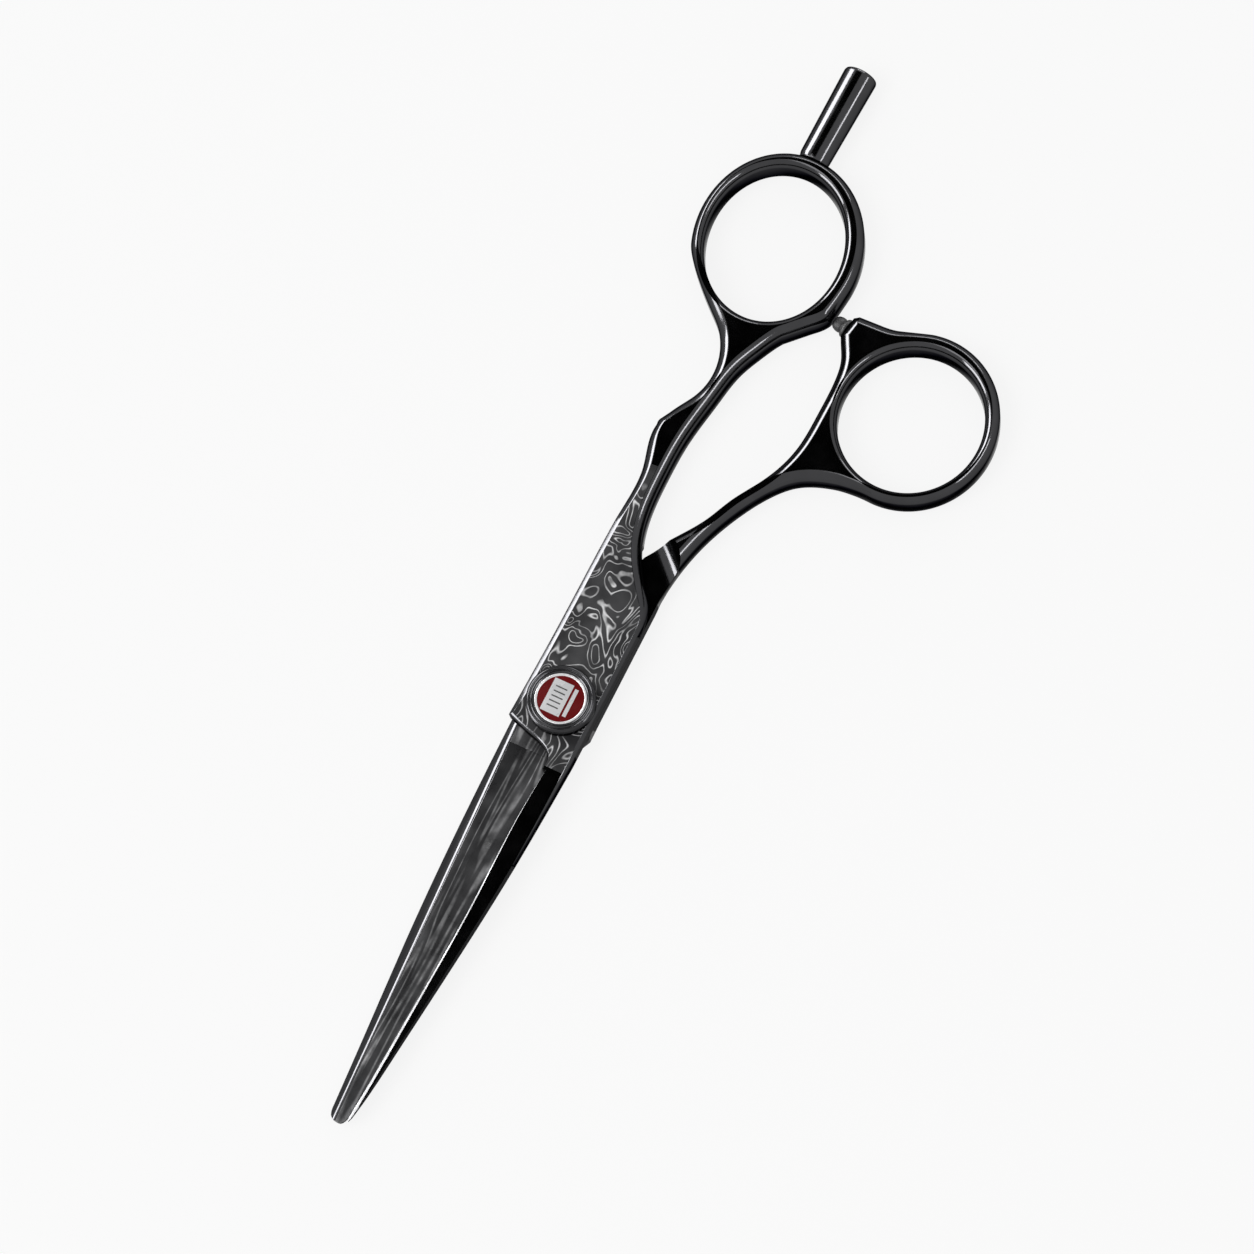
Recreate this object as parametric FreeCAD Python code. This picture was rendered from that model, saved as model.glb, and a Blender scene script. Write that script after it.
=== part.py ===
"""Hair cutting shears with offset rings and a dial tension screw.

Origin: where the pivot axis meets the plane the shears rest on. +Z runs up the pivot to the dial,
+Y from the pivot to the rings (the blades point to -Y), +X towards the thumb ring.
The back half carries the thumb ring, the front half the finger ring, and they cross at the pivot.
"""
import FreeCAD, Part
import math
import os

Vector = FreeCAD.Vector

# ---- Driving dimensions, millimetres and degrees ----

# Halves
total_height = 5.2            # both halves together, and both rings
half_gap = 0.10               # running gap between the two flat inner faces
back_blade_length = 64.7      # pivot to the back blade's tip
front_blade_length = 64.1     # pivot to the front blade's tip
joint_left = -6.0             # edges of the joint, from the pivot
joint_right = 5.0
blade_root = 8.0              # pivot to where the blades begin
blade_tip_thickness = 1.1     # one blade's thickness at the tip
edge_thickness = 0.15         # what a cutting edge keeps
hollow_radius = 20.0          # hollow grind of the back blade's inner face
hollow_depth = 0.20

# Rings: the two semi-axes and the lean of each hole and of each rim
finger_ring_centre = (-3.5, 73.0)
finger_hole_size = (9.9, 11.7)
finger_rim_shift = (0.4, 0.1)
finger_rim_size = (12.2, 14.0)
finger_ring_lean = 13.9
thumb_ring_centre = (25.4, 57.2)
thumb_hole_size = (10.2, 10.6)
thumb_rim_shift = (-0.1, 0.4)
thumb_rim_size = (12.2, 12.75)
thumb_ring_lean = 0.0
ring_edge_round = 0.6

# Neck of the back half: the ramp from the inner face up to full height
neck_direction = 45.0         # the way up the ramp, from +X
neck_start = 18.4             # pivot to the foot of the ramp, along that direction
neck_radius = 4.0

# Finger rest
rest_diameter = 4.6
rest_end_diameter = 5.1
rest_length = 15.3
rest_lean = -1.8              # from +Y towards -X
rest_seat = (-0.9, 13.6)      # from the finger ring's centre
rest_end_round = 0.5
rest_stud_diameter = 2.0
rest_stud_length = 4.2
rest_stud_grip = 1.0          # how far the stud stands in the ring

# Silencer
bumper_diameter = 2.3
bumper_flange_diameter = 2.9
bumper_flange_thickness = 0.6
bumper_stud_diameter = 1.2
bumper_stud_grip = 1.5        # how far the stud stands in the lobe, and in the pad
bumper_stud_stand = 0.9
bumper_gap = 0.15             # pad to finger ring, closed
finger_flank = (12.2, -6.4)   # where the pad meets the finger ring, from the ring's centre

# Pivot
bolt_head_diameter = 7.4
bolt_head_thickness = 1.0
bolt_square = 4.4
bolt_diameter = 3.4
running_fit = 0.03            # radial, on turning fits
seat_fit = 0.05               # radial, on parts that don't turn in their seat
sleeve_wall = 0.5
washer_diameter = 8.4
washer_thickness = 0.30
pocket_clearance = 0.28       # from the bearing pocket out to the dial's skirt
pocket_depth = 1.30
race_thickness = 0.30
race_fit = 0.10
ball_diameter = 0.80
ball_count = 10
ball_inset = 0.90             # race's rim to the balls' circle
ball_clearance = 0.05
cage_thickness = 0.36
cage_band = 1.5
plate_thickness = 0.35
plate_notches = 20
plate_notch_radius = 0.14
bolt_flat = 0.35              # depth of the flat that keys the click plate

# Tension dial
dial_diameter = 9.66
dial_rise = 2.1               # dial above the joint face
dial_lift = 0.10              # dial's skirt above the joint face
dial_skirt_wall = 0.55
spring_thickness = 0.20
spring_rise = 0.45
spring_bore = 4.4
nub_radius = 0.12
bezel_width = 1.20
bezel_groove_radius = 0.16
bezel_round = 0.20
trim_width = 0.36
trim_top_drop = 0.15
disc_thickness = 0.30
disc_drop = 0.30
bar_width = 0.55
bar_offset = 1.5              # across the dial, from the pivot
bar_margin = 0.52             # least distance from the bar's corners to the trim ring
plate_width = 2.9
plate_offset = -0.55
plate_margin = 0.11
inlay_proud = 0.06
inlay_depth = 0.15
retainer_head = 4.4
retainer_head_thickness = 0.30
retainer_play = 0.05          # lets the dial turn under the screw's head
retainer_shank = 1.4
retainer_length = 1.6

# ---- Levels that follow ----
inner_low = (total_height - half_gap) / 2
inner_high = (total_height + half_gap) / 2
washer_low = inner_low + running_fit
pocket_floor = total_height - pocket_depth
sleeve_inner = bolt_diameter / 2 + running_fit
sleeve_outer = sleeve_inner + sleeve_wall
pocket_diameter = dial_diameter - 2 * (dial_skirt_wall + pocket_clearance)
ball_circle = pocket_diameter - 2 * (race_fit + ball_inset)
dial_top = total_height + dial_rise
dial_disc_low = dial_top - disc_drop - disc_thickness
bolt_top = dial_disc_low - retainer_head_thickness - retainer_play
finger_tip = -front_blade_length
thumb_tip = -back_blade_length


def cylinder(radius, low, high, x=0.0, y=0.0):
    return Part.makeCylinder(radius, high - low, Vector(x, y, low))


def ring(outer, inner, low, high):
    return cylinder(outer, low, high).cut(cylinder(inner, low - 1, high + 1))


def box(x0, x1, y0, y1, z0, z1):
    return Part.makeBox(x1 - x0, y1 - y0, z1 - z0, Vector(x0, y0, z0))


def turned(profile):
    """Solid of revolution round +Z from (radius, height) corners."""
    wire = Part.makePolygon([Vector(r, 0, z) for r, z in profile + profile[:1]])
    return Part.Face(wire).revolve(Vector(0, 0, 0), Vector(0, 0, 1), 360)


def curve(points):
    """Smooth edge through the points; two points make a straight one."""
    vectors = [Vector(x, y, 0) for x, y in points]
    if len(vectors) == 2:
        return Part.makeLine(*vectors)
    spline = Part.BSplineCurve()
    spline.interpolate(vectors)
    return spline.toShape()


def plan(*stretches):
    """Flat face inside smooth stretches that meet end to end; the last point closes on the first."""
    edges = []
    for number, points in enumerate(stretches):
        after = stretches[(number + 1) % len(stretches)][0]
        edges.append(curve(points + [after]))
    return Part.Face(Part.Wire(edges))


def slab(face, low, high):
    lifted = face.copy()
    lifted.translate(Vector(0, 0, low))
    return lifted.extrude(Vector(0, 0, high - low))


def oval(centre, size, lean, low, high):
    """Upright oval prism; lean turns its long axis from +Y towards -X."""
    across, along = size
    along_is_long = along >= across
    if along_is_long:
        axis = Vector(-math.sin(math.radians(lean)), math.cos(math.radians(lean)), 0)
    else:
        axis = Vector(math.cos(math.radians(lean)), math.sin(math.radians(lean)), 0)
    longest = max(size)
    shortest = min(size)
    side = Vector(0, 0, 1).cross(axis)
    middle = Vector(centre[0], centre[1], low)
    edge = Part.Ellipse(middle + axis * longest, middle + side * shortest, middle).toShape()
    return Part.Face(Part.Wire([edge])).extrude(Vector(0, 0, high - low))


def offset(origin, points):
    return [(origin[0] + x, origin[1] + y) for x, y in points]


def finger_plan():
    """Joint, blade and shank of the front half, open towards the ring."""
    tip = finger_tip
    reach = finger_ring_centre[1]
    spine = [
        (joint_right, -0.9 * blade_root),
        (joint_right - 0.9, -blade_root + 0.3 * (tip + blade_root)),
        (3.1, -blade_root + 0.51 * (tip + blade_root)),
        (1.35, -blade_root + 0.82 * (tip + blade_root)),
        (0.3, tip + 1.7),
    ]
    nose = [(0.1, tip + 0.6), (-0.2, tip)]
    edge = [
        (-0.33, tip + 0.3),
        (0.65, -blade_root + 0.66 * (tip + blade_root)),
        (1.21, -blade_root + 0.39 * (tip + blade_root)),
        (1.4, -blade_root - 6.0),
    ]
    shoulder = [
        (1.75, -blade_root - 1.5),
        (1.6, -blade_root + 0.3),
        (0.6, -blade_root + 1.3),
        (-1.85, -blade_root + 2.2),
    ]
    left = [
        (joint_left, -blade_root + 3.5),
        (joint_left + 0.4, 9.2),
        (-5.5, 0.26 * reach),
        (-5.3, 0.39 * reach),
        (-5.55, 0.488 * reach),
        (-6.7, 0.567 * reach),
    ]
    shelf = [
        (-6.5, 0.586 * reach),
        (-5.1, 0.625 * reach),
        (-3.7, 0.657 * reach),
        (-2.8, 0.714 * reach),
    ] + offset(finger_ring_centre, [
        (-1.2, -15.2),
        (-6.3, -10.6),
        (-10.4, -7.0),
    ])
    across = offset(finger_ring_centre, [(-10.7, -4.0)])
    right = offset(finger_ring_centre, [
        (12.35, -3.5),
        finger_flank,
        (8.0, -11.0),
        (5.3, -15.4),
    ]) + [
        (0.3, 0.741 * reach),
        (-0.7, 0.673 * reach),
        (-1.8, 0.575 * reach),
        (-2.0, 0.489 * reach),
        (-1.2, 27.3),
        (0.3, 23.5),
    ]
    over_neck = [(1.7, 21.3), (3.3, 19.1), (4.5, 17.2)]
    joint_side = [(joint_right, 14.5)]
    return plan(spine, nose, edge, shoulder, left, shelf, across, right, over_neck, joint_side)


def lobe_corners():
    """Ends of the flat that the silencer stands on."""
    return offset(thumb_ring_centre, [(-14.5, 7.5), (-13.9, 10.5)])


def thumb_plan():
    """Joint, blade, neck and shank of the back half, open towards the ring."""
    tip = thumb_tip
    edge = [
        (joint_right, -0.3 * blade_root),
        (3.2, -0.8 * blade_root),
        (2.3, -blade_root - 3.0),
        (1.9, -blade_root + 0.4 * (tip + blade_root)),
        (1.15, -blade_root + 0.74 * (tip + blade_root)),
        (0.2, tip + 4.0),
    ]
    nose = [(-0.3, tip + 1.4), (-1.1, tip)]
    point = [(-2.3, tip + 0.05), (-2.9, tip + 0.5)]
    spine = [
        (-3.25, tip + 1.4),
        (-4.05, -blade_root + 0.78 * (tip + blade_root)),
        (-5.05, -blade_root + 0.55 * (tip + blade_root)),
        (-5.75, -blade_root + 0.3 * (tip + blade_root)),
        (joint_left, -blade_root),
    ]
    hidden = [
        (joint_left, 2.0),
        (-5.6, 7.5),
        (-3.9, 12.5),
        (-1.6, 18.5),
    ]
    gap_side = [
        (0.3, 24.1),
        (3.1, 28.2),
        (5.9, 32.4),
    ] + offset(thumb_ring_centre, [
        (-17.6, -20.8),
        (-15.4, -17.2),
        (-13.6, -13.6),
        (-12.6, -10.0),
        (-12.25, -4.5),
        (-12.3, 1.5),
        (-12.8, 4.1),
        (-13.9, 6.3),
    ])
    lobe_foot, lobe_corner = [[corner] for corner in lobe_corners()]
    lobe_top = offset(thumb_ring_centre, [
        (-13.2, 11.0),
        (-10.0, 11.1),
        (-7.8, 11.3),
        (-5.0, 12.1),
    ])
    across = offset(thumb_ring_centre, [(-2.0, 12.0)])
    outer = offset(thumb_ring_centre, [
        (-2.0, -12.0),
        (-5.2, -12.6),
        (-8.0, -13.4),
        (-10.7, -14.8),
        (-12.9, -17.0),
        (-16.1, -22.1),
    ]) + [(7.1, 30.0), (5.6, 24.2)]
    joint_side = [(joint_right, 19.5)]
    return plan(
        edge, nose, point, spine, hidden, gap_side, lobe_foot, lobe_corner, lobe_top,
        across, outer, joint_side)


def beyond_plane(a, b, c, limit_y):
    """Everything past the plane through a, b and c on its (b - a) x (c - a) side, below y = limit_y."""
    normal = (b - a).cross(c - a).normalize()
    reach = 2 * back_blade_length
    flat = Part.makePolygon([
        a + side * reach + along * reach
        for side, along in plane_corners(normal)
    ])
    block = Part.Face(flat).extrude(normal * reach)
    return block.common(box(-reach, reach, -2 * reach, limit_y, -reach, reach))


def plane_corners(normal):
    across = normal.cross(Vector(0, 1, 0)).normalize()
    along = normal.cross(across)
    signs = [(1, 1), (1, -1), (-1, -1), (-1, 1), (1, 1)]
    return [(across * i, along * j) for i, j in signs]


def front_bevel():
    """Takes the front blade from full height at its spine down to its cutting edge."""
    edge = Vector(1.35, -blade_root, inner_high + edge_thickness)
    spine = Vector(joint_right - 0.35, -blade_root, total_height)
    tip = Vector(-0.35, finger_tip, inner_high + edge_thickness)
    return beyond_plane(edge, tip, spine, -blade_root)


def front_thinning():
    """Lets the front blade's back fall away towards the tip."""
    root = Vector(0, -blade_root, total_height)
    tip = Vector(0, finger_tip, inner_high + blade_tip_thickness)
    return beyond_plane(root, tip, root + Vector(1, 0, 0), -blade_root)


def back_bevel():
    """Takes the back blade from its flat underside up to its cutting edge."""
    edge = Vector(2.6, -blade_root, inner_low - edge_thickness)
    spine = Vector(-3.2, -blade_root, 0)
    tip = Vector(0.0, thumb_tip, inner_low - edge_thickness)
    return beyond_plane(edge, tip, spine, -blade_root)


def back_thinning():
    """Lets the back blade's outer face rise from the resting plane towards the tip."""
    root = Vector(0, -blade_root, 0)
    tip = Vector(0, thumb_tip, inner_low - blade_tip_thickness)
    return beyond_plane(root, root + Vector(1, 0, 0), tip, -blade_root)


def hollow_grind():
    """Shallow trough along the back blade's inner face, shallower towards the tip."""
    start = Vector(-1.9, -blade_root, inner_low + hollow_radius - hollow_depth)
    end = Vector(-1.5, thumb_tip, inner_low + hollow_radius - 0.02)
    axis = end - start
    return Part.makeCylinder(hollow_radius, axis.Length * 0.94, start, axis)


def neck_cut():
    """Clears the back half's upper layer from the joint out to the ramp of the neck."""
    reach = 2 * (back_blade_length + neck_start)
    height = total_height
    turn = neck_direction
    foot = neck_start
    clear = box(-reach, foot, -reach, reach, inner_low, inner_low + 2 * neck_radius)
    trough = Part.makeCylinder(
        neck_radius,
        2 * height * neck_radius,
        Vector(foot, -height * neck_radius, inner_low + neck_radius),
        Vector(0, 1, 0),
    )
    cutter = clear.fuse(trough)
    cutter.rotate(Vector(0, 0, 0), Vector(0, 0, 1), turn)
    return cutter


def finger_undercut():
    """Clears the front half's lower layer over the back half's joint and neck."""
    face = plan(
        [(-9.0, 13.0), (-5.4, 13.6)],
        [(-4.2, 16.0), (-2.2, 20.5), (-0.9, 24.8)],
        [(0.5, 29.0)],
        [(20.0, 29.0)],
        [(20.0, -2 * front_blade_length)],
        [(-20.0, -2 * front_blade_length)],
        [(-20.0, 13.0)],
    )
    return slab(face, -1, inner_high)


def finger_rim(low, high):
    centre = offset(finger_ring_centre, [finger_rim_shift])[0]
    return oval(centre, finger_rim_size, finger_ring_lean, low, high)


def thumb_rim(low, high):
    centre = offset(thumb_ring_centre, [thumb_rim_shift])[0]
    return oval(centre, thumb_rim_size, thumb_ring_lean, low, high)


def rounded_ring(rim, shank, centre, hole, lean):
    """Ring joined to its shank, with the hole cut and its edges eased."""
    body = rim.fuse(shank)
    body = body.cut(oval(centre, hole, lean, -1, total_height + 1))
    body = body.removeSplitter()
    wall = oval(centre, hole, lean, 0, total_height)
    edges = []
    for edge in body.Edges:
        middle = edge.valueAt((edge.FirstParameter + edge.LastParameter) / 2)
        level = edge.BoundBox.ZLength < 0.01
        if level and wall.distToShape(Part.Vertex(middle))[0] < 0.01:
            edges.append(edge)
    return body.makeFillet(ring_edge_round, edges)


def finger_half():
    shank = slab(finger_plan(), 0, total_height)
    rim = finger_rim(0, total_height)
    body = rounded_ring(rim, shank, finger_ring_centre, finger_hole_size, finger_ring_lean)
    body = body.cut(finger_undercut())
    body = body.cut(front_bevel())
    body = body.cut(front_thinning())
    body = body.cut(cylinder(sleeve_outer + seat_fit, inner_high - 1, total_height + 1))
    body = body.cut(cylinder(pocket_diameter / 2, pocket_floor, total_height + 1))
    recess_top = washer_low + washer_thickness
    body = body.cut(cylinder(washer_diameter / 2 + seat_fit, inner_high - 1, recess_top))
    return body.cut(rest_stud())


def thumb_half():
    shank = slab(thumb_plan(), 0, total_height)
    rim = thumb_rim(0, total_height)
    body = rounded_ring(rim, shank, thumb_ring_centre, thumb_hole_size, thumb_ring_lean)
    body = body.cut(neck_cut())
    body = body.cut(back_bevel())
    body = body.cut(back_thinning())
    body = body.cut(hollow_grind())
    body = body.cut(cylinder(bolt_head_diameter / 2 + seat_fit, -1, bolt_head_thickness))
    side = bolt_square / 2 + seat_fit
    body = body.cut(box(-side, side, -side, side, -1, total_height))
    return body.cut(bumper_stud())


def rest_axis():
    """Seat of the finger rest on the ring and its direction."""
    lean = math.radians(rest_lean)
    x, y = offset(finger_ring_centre, [rest_seat])[0]
    return Vector(x, y, total_height / 2), Vector(-math.sin(lean), math.cos(lean), 0)


def rest_stud():
    seat, along = rest_axis()
    return Part.makeCylinder(rest_stud_diameter / 2, rest_stud_length, seat - along * rest_stud_grip, along)


def finger_rest():
    seat, along = rest_axis()
    body = Part.makeCone(rest_diameter / 2, rest_end_diameter / 2, rest_length, seat, along)
    end = seat + along * rest_length
    rims = [e for e in body.Edges if e.distToShape(Part.Vertex(end))[0] < rest_end_diameter / 2 + 0.01]
    rims = [e for e in rims if (e.BoundBox.Center - end).Length < 0.01]
    body = body.makeFillet(rest_end_round, rims)
    return body.cut(finger_rim(-1, total_height + 1)).cut(rest_stud())


def bumper_line():
    """Foot and direction of the silencer: from the lobe's flat towards the finger ring."""
    low, high = [Vector(x, y, total_height / 2) for x, y in lobe_corners()]
    out = Vector(0, 0, 1).cross(high - low).normalize()
    return (low + high) / 2, out


def bumper_stud():
    foot, out = bumper_line()
    start = foot - out * bumper_stud_grip
    return Part.makeCylinder(bumper_stud_diameter / 2, bumper_stud_grip + bumper_stud_stand, start, out)


def bumper_pad():
    foot, out = bumper_line()
    flank = Vector(*offset(finger_ring_centre, [finger_flank])[0], total_height / 2)
    reach = (flank - foot).dot(out) - bumper_gap
    hole = bumper_stud_diameter / 2
    flange = bumper_flange_diameter / 2
    foot_top = bumper_flange_thickness
    rise = reach - foot_top
    angles = [math.radians(15 * step) for step in range(7)]
    dome = [(bumper_diameter / 2 * math.cos(a), foot_top + rise * math.sin(a)) for a in angles]
    dome[-1] = (0, reach)
    corners = [(0, reach), (0, bumper_stud_stand), (hole, bumper_stud_stand), (hole, 0), (flange, 0),
               (flange, foot_top), dome[0]]
    straight = Part.makePolygon([Vector(r, 0, z) for r, z in corners])
    rounded = Part.BSplineCurve()
    rounded.interpolate([Vector(r, 0, z) for r, z in dome])
    outline = Part.Wire(straight.Edges + [rounded.toShape()])
    pad = Part.Face(outline).revolve(Vector(0, 0, 0), Vector(0, 0, 1), 360)
    pad.Placement = FreeCAD.Placement(foot, FreeCAD.Rotation(Vector(0, 0, 1), out))
    return pad


def pivot_bolt():
    head = cylinder(bolt_head_diameter / 2, 0, bolt_head_thickness)
    side = bolt_square / 2
    neck = box(-side, side, -side, side, bolt_head_thickness, inner_low - 0.15)
    shaft = cylinder(bolt_diameter / 2, bolt_head_thickness, bolt_top)
    flat = box(
        bolt_diameter / 2 - bolt_flat, bolt_diameter, -bolt_diameter, bolt_diameter,
        pocket_floor + race_thickness, bolt_top + 1)
    tapped = cylinder(retainer_shank / 2, bolt_top - retainer_length, bolt_top + 1)
    return head.fuse(neck).fuse(shaft).cut(flat).cut(tapped).removeSplitter()


def pivot_sleeve():
    return ring(sleeve_outer, sleeve_inner, washer_low + washer_thickness, pocket_floor)


def glide_washer():
    return ring(washer_diameter / 2, sleeve_inner, washer_low, washer_low + washer_thickness)


def race_outer():
    return pocket_diameter / 2 - race_fit


def lower_race():
    return ring(race_outer(), sleeve_outer, pocket_floor, pocket_floor + race_thickness)


def ball_level():
    return pocket_floor + race_thickness + ball_diameter / 2 + ball_clearance / 4


def ball_spots():
    for number in range(ball_count):
        angle = 2 * math.pi * number / ball_count
        yield ball_circle / 2 * math.cos(angle), ball_circle / 2 * math.sin(angle)


def bearing_balls():
    return Part.makeCompound([
        Part.makeSphere(ball_diameter / 2, Vector(x, y, ball_level())) for x, y in ball_spots()])


def ball_cage():
    low = ball_level() - cage_thickness / 2
    high = low + cage_thickness
    cage = ring((ball_circle + cage_band) / 2, (ball_circle - cage_band) / 2, low, high)
    for x, y in ball_spots():
        cage = cage.cut(cylinder(ball_diameter / 2 + ball_clearance, low - 1, high + 1, x, y))
    return cage


def plate_low():
    return ball_level() + ball_diameter / 2 + ball_clearance / 4


def click_plate():
    low = plate_low()
    high = low + plate_thickness
    plate = ring(race_outer(), bolt_diameter / 2 + seat_fit, low, high)
    bore = cylinder(bolt_diameter / 2 + seat_fit, low, high)
    lip_face = bolt_diameter / 2 - bolt_flat + seat_fit
    lip = box(lip_face, bolt_diameter, -bolt_diameter, bolt_diameter, low, high)
    plate = plate.fuse(bore.common(lip))
    for number in range(plate_notches):
        angle = 2 * math.pi * number / plate_notches
        across = Vector(math.cos(angle), math.sin(angle), 0)
        start = Vector(0, 0, high) + across * (spring_bore / 2)
        groove = Part.makeCylinder(plate_notch_radius, pocket_diameter / 2, start, across)
        plate = plate.cut(groove)
    return plate


def spring_low():
    return plate_low() + plate_thickness + running_fit


def click_spring():
    """Coned spring washer, narrow end up, with a nub at its rim that drops into the plate's notches."""
    low = spring_low()
    outer = race_outer()
    inner = spring_bore / 2
    cone = turned([
        (inner, low + spring_rise - spring_thickness),
        (outer, low),
        (outer, low + spring_thickness),
        (inner, low + spring_rise),
    ])
    nub = Part.makeSphere(nub_radius, Vector(0, outer - 0.5, low + 0.06))
    return cone.fuse(nub)


def dial_seat():
    return spring_low() + spring_rise


def dial_core_radius():
    return dial_diameter / 2 - bezel_width


def tension_dial():
    low = total_height + dial_lift
    seat = dial_seat()
    core = dial_core_radius()
    disc = dial_disc_low
    skirt_inner = dial_diameter / 2 - dial_skirt_wall
    profile = [
        (bolt_diameter / 2 + running_fit, seat),
        (skirt_inner, seat),
        (skirt_inner, low),
        (dial_diameter / 2, low),
        (dial_diameter / 2, seat + 0.25),
        (core, seat + 0.25),
        (core, disc),
        (retainer_head / 2 + 2 * seat_fit, disc),
        (retainer_head / 2 + 2 * seat_fit, bolt_top - retainer_play),
        (bolt_diameter / 2 + running_fit, bolt_top - retainer_play),
    ]
    return turned(profile)


def dial_bezel():
    low = dial_seat() + 0.25
    high = dial_top
    outer = dial_diameter / 2
    body = ring(outer, dial_core_radius(), low, high)
    rims = [e for e in body.Edges if e.BoundBox.ZMin > high - 0.01]
    body = body.makeFillet(bezel_round, rims)
    groove = Part.makeTorus(outer, bezel_groove_radius, Vector(0, 0, (low + high) / 2))
    return body.cut(groove)


def dial_trim_ring():
    core = dial_core_radius()
    return ring(core, core - trim_width, dial_disc_low, dial_top - trim_top_drop)


def disc_radius():
    return dial_core_radius() - trim_width


def inlay(width, x, margin):
    """Silver block let into the enamel disc, as long as its margin to the trim ring allows."""
    half_width = width / 2
    half_length = math.sqrt((disc_radius() - margin) ** 2 - (abs(x) + half_width) ** 2)
    low = dial_top - disc_drop - inlay_depth
    high = dial_top - disc_drop + inlay_proud
    return box(x - half_width, x + half_width, -half_length, half_length, low, high)


def dial_disc():
    top = dial_top - disc_drop
    disc = cylinder(disc_radius(), dial_disc_low, top)
    return disc.cut(dial_bar()).cut(dial_plate())


def dial_bar():
    return inlay(bar_width, bar_offset, bar_margin)


def dial_plate():
    return inlay(plate_width, plate_offset, plate_margin)


def dial_retainer():
    head = cylinder(retainer_head / 2, bolt_top, bolt_top + retainer_head_thickness)
    return head.fuse(cylinder(retainer_shank / 2, bolt_top - retainer_length + 0.2, bolt_top))


def export(name, shape):
    shape.exportStep("parts/%s.step" % name)


def main():
    os.makedirs("parts", exist_ok=True)
    pieces = {
        "finger_half": finger_half,
        "thumb_half": thumb_half,
        "finger_rest": finger_rest,
        "rest_stud": rest_stud,
        "bumper_pad": bumper_pad,
        "bumper_stud": bumper_stud,
        "pivot_bolt": pivot_bolt,
        "pivot_sleeve": pivot_sleeve,
        "glide_washer": glide_washer,
        "lower_race": lower_race,
        "bearing_balls": bearing_balls,
        "ball_cage": ball_cage,
        "click_plate": click_plate,
        "click_spring": click_spring,
        "tension_dial": tension_dial,
        "dial_bezel": dial_bezel,
        "dial_trim_ring": dial_trim_ring,
        "dial_disc": dial_disc,
        "dial_bar": dial_bar,
        "dial_plate": dial_plate,
        "dial_retainer": dial_retainer,
    }
    for name, make in pieces.items():
        shape = make()
        box_of = shape.BoundBox
        print("%-16s solids %d valid %s volume %.3f  z %.3f..%.3f" % (
            name, len(shape.Solids), shape.isValid(), shape.Volume, box_of.ZMin, box_of.ZMax))
        export(name, shape)


main()
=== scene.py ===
import math
import bpy
import bmesh
import numpy as np
from mathutils import Matrix, Vector


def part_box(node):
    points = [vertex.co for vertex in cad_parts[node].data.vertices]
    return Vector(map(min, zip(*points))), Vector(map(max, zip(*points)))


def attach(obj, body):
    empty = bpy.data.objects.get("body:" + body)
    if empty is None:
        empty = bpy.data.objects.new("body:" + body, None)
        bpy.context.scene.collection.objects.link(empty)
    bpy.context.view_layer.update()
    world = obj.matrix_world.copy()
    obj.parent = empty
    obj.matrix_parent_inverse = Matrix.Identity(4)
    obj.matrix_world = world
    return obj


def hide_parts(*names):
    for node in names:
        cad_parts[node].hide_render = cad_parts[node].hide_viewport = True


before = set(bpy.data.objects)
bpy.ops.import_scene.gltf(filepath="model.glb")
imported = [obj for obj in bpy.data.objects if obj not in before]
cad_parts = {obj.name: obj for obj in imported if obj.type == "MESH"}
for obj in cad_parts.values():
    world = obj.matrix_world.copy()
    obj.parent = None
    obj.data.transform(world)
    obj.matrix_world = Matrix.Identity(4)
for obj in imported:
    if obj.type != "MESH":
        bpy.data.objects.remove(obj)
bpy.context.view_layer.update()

mm = 0.001
sampleStep = 0.42                                    # spacing of the points along an outline
cornerAngle = 22                                     # a sharper turn than this is a corner
sharpAngle = 28                                      # edges sharper than this are shaded hard

# the halves are drawn in millimetres and scaled to metres at the end.
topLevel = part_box("finger_half")[1].z / mm           # top of both rings and of the joint
halfGap = 0.10
innerLow = (topLevel - halfGap) / 2                  # back half's inner face
innerHigh = (topLevel + halfGap) / 2                 # front half's inner face
fingerRing = np.array((-3.5, 73.0))                  # ring centres
thumbRing = np.array((25.4, 57.2))
print("frame read, top at %.2f mm" % topLevel)


def addObject(name, data):
    thing = bpy.data.objects.new(name, data)
    bpy.context.scene.collection.objects.link(thing)
    return thing


def meshOf(bm, name):
    mesh = bpy.data.meshes.new(name)
    bm.to_mesh(mesh)
    bm.free()
    return mesh


# a plain mesh of what the object's modifiers make, which are then removed
def settle(thing):
    bpy.context.view_layer.update()
    result = bpy.data.meshes.new_from_object(thing.evaluated_get(bpy.context.evaluated_depsgraph_get()))
    thing.modifiers.clear()
    thing.data = result
    return result


# a flat rectangle from two opposite corners, all in metres
def card(name, low, high, level):
    mesh = bpy.data.meshes.new(name)
    corners = [low, (high[0], low[1]), high, (low[0], high[1])]
    mesh.from_pydata([(x, y, level) for x, y in corners], [], [(0, 1, 2, 3)])
    return addObject(name, mesh)


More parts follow.
